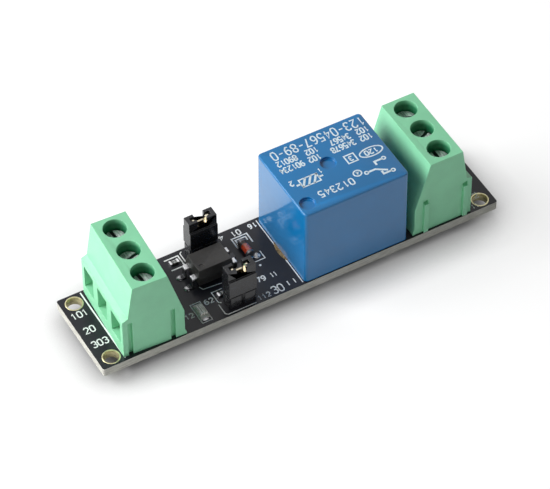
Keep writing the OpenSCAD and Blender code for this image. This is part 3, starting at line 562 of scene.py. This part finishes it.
def ribbon(points, width, low, high, closed=False, sharpest=0.6):
    # a flat strip: each path point moves half the width to both sides along the mitred normal,
    # and the four corners of the strip's section are carried from point to point
    path = np.array(points, float)
    if closed:
        ahead = np.roll(path, -1, 0) - path
    else:
        ahead = np.vstack([path[1:] - path[:-1], path[-1:] - path[-2:-1]])
    ahead = ahead / np.linalg.norm(ahead, axis=1, keepdims=True)
    behind = np.roll(ahead, 1, 0) if closed else np.vstack([ahead[:1], ahead[:-1]])
    normalAhead, normalBehind = (np.stack([-way[:, 1], way[:, 0]], 1) for way in (ahead, behind))
    mitre = normalAhead + normalBehind
    mitre = mitre / np.maximum((mitre * normalAhead).sum(1, keepdims=True), sharpest)
    left, right = path + mitre * width / 2, path - mitre * width / 2
    count = len(path)
    rings = np.stack([
        np.c_[left, np.full(count, low)], np.c_[right, np.full(count, low)],
        np.c_[right, np.full(count, high)], np.c_[left, np.full(count, high)],
    ], 1)
    faces = quads(count, 4, closed, True)
    if not closed:
        last = 4 * (count - 1)
        faces = np.vstack([faces, [[0, 1, 2, 3], [last, last + 1, last + 2, last + 3]]])
    return rings.reshape(-1, 3), faces


def turned(profile, centre, segments=40, scale=(1, 1)):
    # a profile of radius and height turned about Z: x = radius cos angle, y = radius sin angle
    radius, height = np.array(profile, float).T
    angle = np.linspace(0, 2 * np.pi, segments, endpoint=False)
    x = np.outer(radius, np.cos(angle)) * scale[0] + centre[0]
    y = np.outer(radius, np.sin(angle)) * scale[1] + centre[1]
    z = np.repeat(height[:, None], segments, 1) + centre[2]
    return np.stack([x, y, z], -1).reshape(-1, 3), quads(len(radius), segments, False, True)


def dome(centre, reach, height, power, steps=8, segments=28, sink=0.01):
    # a pool of solder: height falls from the middle as (1 - radius squared) to a power, flat below
    radius = np.sin(np.linspace(0, np.pi / 2, steps))
    rise = height * (1 - radius ** 2) ** power
    profile = np.vstack([np.c_[radius, rise], [[1, -sink]], [[0, -sink]]])
    return turned(profile, centre, segments, reach)


# places on the board are given from its left and front edges, in mm
def spotOnBoard(x, y):
    return x + boardLow[0], y + boardLow[1]


def onBoard(path):
    return [spotOnBoard(x, y) for x, y in path]


# plain numerals as pen strokes in a box one unit wide and one high
numerals = {
    "0": [[(0, .2), (0, .8), (.25, 1), (.75, 1), (1, .8), (1, .2), (.75, 0), (.25, 0), (0, .2)]],
    "1": [[(.15, .75), (.5, 1), (.5, 0)]],
    "2": [[(0, .8), (.25, 1), (.75, 1), (1, .8), (1, .6), (0, 0), (1, 0)]],
    "3": [[(0, .85), (.25, 1), (.75, 1), (1, .8), (1, .65), (.75, .52), (.4, .52)],
          [(.75, .52), (1, .35), (1, .2), (.75, 0), (.25, 0), (0, .15)]],
    "4": [[(.72, 0), (.72, 1), (0, .3), (1, .3)]],
    "5": [[(.95, 1), (.1, 1), (.03, .58), (.7, .62), (1, .42), (1, .2), (.75, 0), (.25, 0), (0, .15)]],
    "6": [[(.9, .95), (.5, 1), (.1, .75), (0, .4), (.1, .1), (.3, 0), (.7, 0), (1, .2), (1, .4),
           (.7, .58), (.2, .52)]],
    "7": [[(0, 1), (1, 1), (.35, 0)]],
    "8": [[(.3, .53), (.03, .7), (.05, .88), (.3, 1), (.7, 1), (.95, .88), (.97, .7), (.7, .53),
           (.3, .53), (0, .35), (0, .15), (.3, 0), (.7, 0), (1, .15), (1, .35), (.7, .53)]],
    "9": [[(.1, .05), (.5, 0), (.9, .25), (1, .6), (.9, .9), (.7, 1), (.3, 1), (0, .8), (0, .6),
           (.3, .42), (.8, .48)]],
    "-": [[(.1, .5), (.9, .5)]],
}


def writeNumber(text, place, size, pen, turn, low, top):
    # the strokes of a number about its middle, turned in degrees; size is the height and width
    # of a sign and the distance from sign to sign
    high, wide, step = size
    cosine, sine = math.cos(math.radians(turn)), math.sin(math.radians(turn))
    start = -((len(text) - 1) * step + wide) / 2
    parts = []
    for count, sign in enumerate(text):
        for stroke in numerals[sign]:
            x, y = (np.array(stroke) * (wide, high) + (start + count * step, -high / 2)).T
            path = np.stack([place[0] + x * cosine - y * sine, place[1] + x * sine + y * cosine], 1)
            parts.append(ribbon(path, pen, low, top))
    return parts


# white print on the board: outlines round the parts and plain numerals
printSet = dict(
    pen=0.17, heavier=1.4, numberPen=0.21, low=-0.01, top=0.02,
    dot=(31.95, 7.06), dotRadius=0.2, dotSides=20,
    # number, its middle, height, width and distance from sign to sign, turn
    numbers=[
        ("101", (1.98, 12.1), (1.25, 0.7, 0.98), 0), ("20", (1.9, 8.5), (1.25, 0.7, 1.0), 0),
        ("303", (2.15, 5.35), (1.25, 0.7, 0.98), 0), ("4", (29.3, 15.3), (0.95, 0.7, 1.0), 180),
        ("01", (31.9, 15.1), (1.05, 0.6, 0.95), 180), ("16", (35.0, 15.2), (0.95, 0.5, 0.8), 180),
        ("12", (16.9, 3.1), (0.9, 0.55, 0.8), 0), ("62", (21.1, 4.4), (0.95, 0.6, 0.9), 0),
        ("30", (31.9, 1.3), (1.5, 0.8, 1.08), 0), ("112", (29.3, 1.0), (0.9, 0.5, 0.78), 0),
        ("79", (30.6, 4.4), (0.95, 0.6, 0.85), 0), ("11", (32.85, 4.3), (0.95, 0.3, 0.6), 0),
        ("2", (69.95, 2.95), (1.1, 0.75, 0.85), 0), ("11", (68.7, 1.0), (0.8, 0.4, 0.7), 0),
    ],
    closed=("lampBox",), heavy=("blockLine", "chipBox", "diodeBack", "diodeBackInner"),
    lines=dict(
        blockLine=[(4.15, 0.6), (4.15, 16.1)],
        chipBox=[(19.0, 13.0), (21.4, 13.0), (21.4, 15.4), (18.9, 15.4)],
        lampBox=[(18.05, 0.8), (19.8, 0.8), (19.8, 5.05), (18.05, 5.05)],
        optoCorner=[(21.2, 7.8), (21.5, 7.05), (24.9, 6.75)],
        lowChip=[(24.2, 5.75), (22.3, 5.75), (22.3, 3.4), (22.7, 3.1)],
        headerFront=[(22.1, 3.0), (22.1, 0.8), (22.5, 0.45), (27.6, 0.45)],
        headerBack=[(22.3, 15.9), (21.9, 15.6), (21.9, 13.4), (22.3, 12.9), (27.9, 12.9)],
        diodeBack=[(30.6, 12.0), (30.6, 14.2), (33.4, 14.2), (33.4, 12.1)],
        diodeBackInner=[(31.05, 12.6), (31.05, 13.7), (32.9, 13.7), (32.9, 12.9)],
        diodeFront=[(31.5, 8.05), (33.4, 8.05), (33.4, 9.8)],
        relayFront=[(36.1, 0.5), (36.1, 6.1)],
        relayBack=[(36.1, 9.9), (36.1, 15.9)],
        tickLeft=[(33.95, 1.0), (33.95, 1.95)],
        tickRight=[(35.1, 1.0), (35.1, 1.95)],
    ),
)


def boardPrint(mark):
    low, top = boardTop + mark["low"], boardTop + mark["top"]
    parts = []
    for name, path in mark["lines"].items():
        pen = mark["pen"] * (mark["heavier"] if name in mark["heavy"] else 1)
        parts.append(ribbon(onBoard(path), pen, low, top, name in mark["closed"]))
    for text, spot, size, turn in mark["numbers"]:
        parts += writeNumber(text, spotOnBoard(*spot), size, mark["numberPen"], turn, low, top)
    radius = mark["dotRadius"]
    profile = [(0, top), (radius, top), (radius, low), (0, low)]
    parts.append(turned(profile, (*spotOnBoard(*mark["dot"]), 0), mark["dotSides"]))
    placePiece("boardPrint", parts, "ink", bodyOf("circuit_board"))


boardPrint(printSet)

# three small numerals on each chip resistor, from the left one to the right one
chipSet = dict(texts=("103", "472"), size=(0.52, 0.26, 0.38), pen=0.08, endRise=0.03, low=-0.01, top=0.01)


def chipPrint(mark):
    spots = spotsOf("resistor_ends")
    apart = (spots[:, 0].min() + spots[:, 0].max()) / 2
    parts = []
    for text, chip in zip(mark["texts"], (spots[spots[:, 0] < apart], spots[spots[:, 0] >= apart])):
        middle = (chip[:, :2].min(0) + chip[:, :2].max(0)) / 2
        face = chip[:, 2].max() - mark["endRise"]
        low, top = face + mark["low"], face + mark["top"]
        parts += writeNumber(text, middle, mark["size"], mark["pen"], 0, low, top)
    placePiece("chipPrint", parts, "ink", bodyOf("resistor_bodies"))


chipPrint(chipSet)

# print on the relay, read from the back: rows of plain numerals, a coil and a changeover contact;
# places are from the relay's middle
relaySet = dict(
    pen=0.24, heavier=1.5, turn=180, low=-0.02, top=0.012, ringSides=28,
    # number, its middle, height, width and distance from sign to sign
    numbers=[
        ("123-04567-89-0", (0.6, 5.95), (1.75, 0.8, 1.22)),
        ("102", (7.7, 4.05), (1.1, 0.52, 0.74)), ("34567", (3.65, 4.05), (1.1, 0.52, 0.74)),
        ("102", (-1.6, 4.05), (1.1, 0.52, 0.74)), ("89012", (-6.1, 4.05), (1.1, 0.52, 0.74)),
        ("102", (7.5, 2.45), (1.1, 0.52, 0.74)), ("345678", (3.35, 2.45), (1.1, 0.52, 0.74)),
        ("102", (-1.95, 2.45), (1.1, 0.52, 0.74)), ("901234", (-6.05, 2.45), (1.1, 0.52, 0.74)),
        ("120", (6.6, -0.7), (0.95, 0.55, 0.8)), ("1", (-2.6, -0.3), (1.0, 0.5, 0.7)),
        ("2", (-7.9, -0.6), (1.0, 0.5, 0.7)), ("3", (3.05, -0.45), (0.9, 0.5, 0.7)),
        ("012345", (-2.15, -4.85), (1.3, 0.72, 1.1)), ("4", (2.3, -3.75), (0.65, 0.35, 0.7)),
    ],
    # middle and half sizes
    rings=[(6.6, -0.7, 2.05, 0.95), (2.3, -3.75, 0.68, 0.62), (7.6, -2.9, 0.3, 0.3), (7.6, -5.9, 0.3, 0.3),
           (3.6, -4.4, 0.3, 0.3)],
    closed=[[(2.2, -1.3), (3.9, -1.3), (3.9, 0.45), (2.2, 0.45)],
            [(-6.6, -2.2), (-3.4, -2.2), (-3.4, -0.5), (-6.6, -0.5)]],
    strokes=[[(-6.6, -2.2), (-5.4, -0.5)], [(-5.6, -2.2), (-4.4, -0.5)], [(-4.6, -2.2), (-3.4, -0.5)],
             [(-3.4, -1.4), (-2.6, -1.4)], [(-7.4, -1.4), (-6.6, -1.4)],
             [(3.9, -4.4), (5.2, -4.4), (6.9, -5.5)], [(7.3, -2.9), (5.9, -2.9), (5.9, -3.7)],
             [(7.3, -5.9), (5.9, -5.9), (5.9, -5.2)]],
)


def relayPrint(mark):
    low, top = relayHigh[2] + mark["low"], relayHigh[2] + mark["top"]
    middle = (relayLow[:2] + relayHigh[:2]) / 2
    parts = []
    for text, spot, size in mark["numbers"]:
        parts += writeNumber(text, middle + spot, size, mark["pen"], mark["turn"], low, top)
    # ring: x = half width times cosine, y = half height times sine
    angle = np.linspace(0, 2 * np.pi, mark["ringSides"], endpoint=False)
    for x, y, halfWide, halfHigh in mark["rings"]:
        ring = middle + np.stack([x + halfWide * np.cos(angle), y + halfHigh * np.sin(angle)], 1)
        parts.append(ribbon(ring, mark["pen"], low, top, True))
    for path in mark["closed"]:
        parts.append(ribbon(middle + path, mark["pen"], low, top, True))
    for path in mark["strokes"]:
        parts.append(ribbon(middle + path, mark["pen"] * mark["heavier"], low, top))
    placePiece("relayPrint", parts, "relayInk", bodyOf("relay_cover"))


relayPrint(relaySet)
print("printing laid")

# plated rings at the mounting holes
ringSet = dict(
    inner=1.3, outer=1.5, inset=(2.3, 1.85), thick=0.03, segments=48, smooth=40,
    slope=0.05, lip=0.02, wall=0.04, hidden=0.01,   # bevel, flat edge, plated wall and its buried back
)


def platedRings(ring):
    # ring on both faces joined by the plated wall, as one closed profile turned about the hole
    outer, inner, thick, slope, lip = (ring[key] for key in ("outer", "inner", "thick", "slope", "lip"))
    wall, hidden = inner - ring["wall"], inner + ring["hidden"]
    profile = [
        (outer, boardTop), (outer - slope, boardTop + thick), (inner + lip, boardTop + thick),
        (wall, boardTop - slope), (wall, boardBottom + slope),
        (inner + lip, boardBottom - thick), (outer - slope, boardBottom - thick), (outer, boardBottom),
        (hidden, boardBottom + lip), (hidden, boardTop - lip), (outer, boardTop),
    ]
    left, front = spotOnBoard(*ring["inset"])
    parts = [turned(profile, (x, y, 0), ring["segments"]) for x in (left, -left) for y in (front, -front)]
    placePiece("holePlating", parts, "plating", bodyOf("circuit_board"), ring["smooth"])


platedRings(ringSet)

# the relay's round pad, and solder of the small parts
padSet = dict(thick=0.03, sink=0.01, radius=5.5, shows=0.6, segments=64)
solderSet = dict(
    # offset from the node's end, half sizes, height, and the power that shapes the dome
    lamp=(0.0, (0.6, 0.36), 0.3, 0.8), diode=(0.05, (0.5, 0.34), 0.3, 0.8),
    leftLead=(0.35, (0.62, 0.56), 0.36, 0.7), rightLead=(0.45, (0.3, 0.3), 0.12, 0.7), leadInset=0.5,
    bareSpot=(32.5, 9.15), barePad=((0.62, 0.62), 0.1, 0.4),    # where the diode's front end is soldered
    smooth=60,
)


def relayPad(pad):
    # a disc whose edge shows at the relay's foot
    middle = (relayLow[0] + pad["radius"] - pad["shows"], (relayLow[1] + relayHigh[1]) / 2, boardTop)
    radius, top, low = pad["radius"], pad["thick"], -pad["sink"]
    disc = turned([(0, top), (radius, top), (radius, low), (0, low)], middle, pad["segments"])
    placePiece("relayPad", [disc], "padMetal", bodyOf("circuit_board"))


def solderPools(solder):
    pools = []
    for name, key in (("led_body", "lamp"), ("diode_caps", "diode")):
        low, high = boxInMm(name)
        out, *shape = solder[key]
        for y in (low[1] + out, high[1] - out):
            pools.append(dome(((low[0] + high[0]) / 2, y, boardTop), *shape))
    low, high = boxInMm("optocoupler_leads")
    for x, inwards, key in ((low[0], 1, "leftLead"), (high[0], -1, "rightLead")):
        out, *shape = solder[key]
        for y in (low[1] + solder["leadInset"], high[1] - solder["leadInset"]):
            pools.append(dome((x + inwards * out, y, boardTop), *shape))
    pools.append(dome((*spotOnBoard(*solder["bareSpot"]), boardTop), *solder["barePad"]))
    placePiece("solderPools", pools, "shadedSolder", bodyOf("circuit_board"), solder["smooth"])


relayPad(padSet)
solderPools(solderSet)
print("pads and solder laid")

# tracks under the board, seen as low ridges in the mask
trackSet = dict(
    lift=0.035, sink=0.01, reach=1.2, below=0.1,
    # where it starts and ends, width
    pairs=[
        ("output_contact_1", "relay_open_contact", 2.0), ("output_contact_2", "relay_common_pin", 2.0),
        ("output_contact_3", "relay_closed_contact", 2.0), ("relay_coil_pin_1", "back_header_pins", 0.8),
        ("relay_coil_pin_2", "front_header_pins", 0.8), ("input_contact_1", "front_header_pins", 0.8),
        ("input_contact_3", "back_header_pins", 0.8),
    ],
)


def tailOf(nodeName, side, track):
    # middle of the tail under the board that lies furthest to the given side
    spots = spotsOf(nodeName)
    spots = spots[spots[:, 2] < boardBottom - track["below"]] * (side, 1, 1)
    spots = spots[spots[:, 0] > spots[:, 0].max() - track["reach"]]
    return (spots[:, :2].min(0) + spots[:, :2].max(0)) / 2 * (side, 1)


def boardTracks(track):
    # each runs straight along the board, then at 45 degrees to its end
    parts = []
    for start, end, width in track["pairs"]:
        side = 1 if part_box(end)[0][0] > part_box(start)[0][0] else -1
        first, last = tailOf(start, side, track), tailOf(end, -side, track)
        bend = last[0] - side * abs(last[1] - first[1])
        path = [first, (bend, first[1]), last]
        parts.append(ribbon(path, width, boardBottom - track["lift"], boardBottom + track["sink"]))
    placePiece("boardTracks", parts, "track", bodyOf("circuit_board"))


boardTracks(trackSet)
print("tracks laid")

# dark band that marks one end of the glass
bandSet = dict(length=0.6, lift=0.008, sink=0.02, segments=32, smooth=40)


def diodeBand(band):
    # ring about the glass: x = radius cos angle, z = radius sin angle, thin profile run along Y
    low, high = boxInMm("diode_glass")
    radius = (high[0] - low[0]) / 2
    inner, outer = radius - band["sink"], radius + band["lift"]
    start, end = high[1] - band["length"], high[1] - band["sink"]
    ring, faces = turned([(inner, start), (outer, start), (outer, end), (inner, end), (inner, start)],
                         (0, 0, 0), band["segments"])
    verts = ring[:, [0, 2, 1]] + ((low[0] + high[0]) / 2, 0, (low[2] + high[2]) / 2)
    placePiece("diodeBand", [(verts, faces)], "band", bodyOf("diode_glass"),
               band["smooth"])


diodeBand(bandSet)

# soft edges: radius in mm and the piece's name; the rest is shared by all of them
softSet = dict(weld=1e-6, flat=0.8, segments=2, angle=30, screwRadius=0.05)
softEdges = dict(
    input_terminal_housing=(0.1, "inputHousing"), output_terminal_housing=(0.1, "outputHousing"),
    relay_cover=(0.1, "relayCover"), optocoupler_body=(0.06, "optoBody"),
    back_header_base=(0.05, "backHeaderBase"), front_header_base=(0.05, "frontHeaderBase"),
    back_jumper_cap=(0.06, "backJumperCap"), front_jumper_cap=(0.06, "frontJumperCap"),
)


def softCopy(nodeName, radius, pieceName, soft):
    # a node's mesh with doubles merged and flat faces joined, then its edges rounded
    mesh = nodes[nodeName].data.copy()
    mesh.name = pieceName
    angle = math.radians(soft["angle"])
    bm = bmesh.new()
    bm.from_mesh(mesh)
    bmesh.ops.remove_doubles(bm, verts=bm.verts, dist=soft["weld"])
    bmesh.ops.dissolve_limit(bm, angle_limit=math.radians(soft["flat"]), verts=bm.verts, edges=bm.edges)
    bm.to_mesh(mesh)
    bm.free()
    mesh.shade_smooth()
    mesh.set_sharp_from_angle(angle=angle)
    piece = bpy.data.objects.new(pieceName, mesh)
    bpy.context.scene.collection.objects.link(piece)
    bevel = piece.modifiers.new("softEdges", "BEVEL")
    bevel.width = radius * mm
    bevel.segments = soft["segments"]
    bevel.limit_method = "ANGLE"
    bevel.angle_limit = angle
    bevel.harden_normals = True
    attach(piece, bodyOf(nodeName))
    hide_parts(nodeName)


for nodeName, (radius, pieceName) in softEdges.items():
    softCopy(nodeName, radius, pieceName, softSet)
for block, number in poles:
    softCopy(f"{block}_screw_{number}", softSet["screwRadius"], f"{block}Screw{number}", softSet)
print("soft edges made")
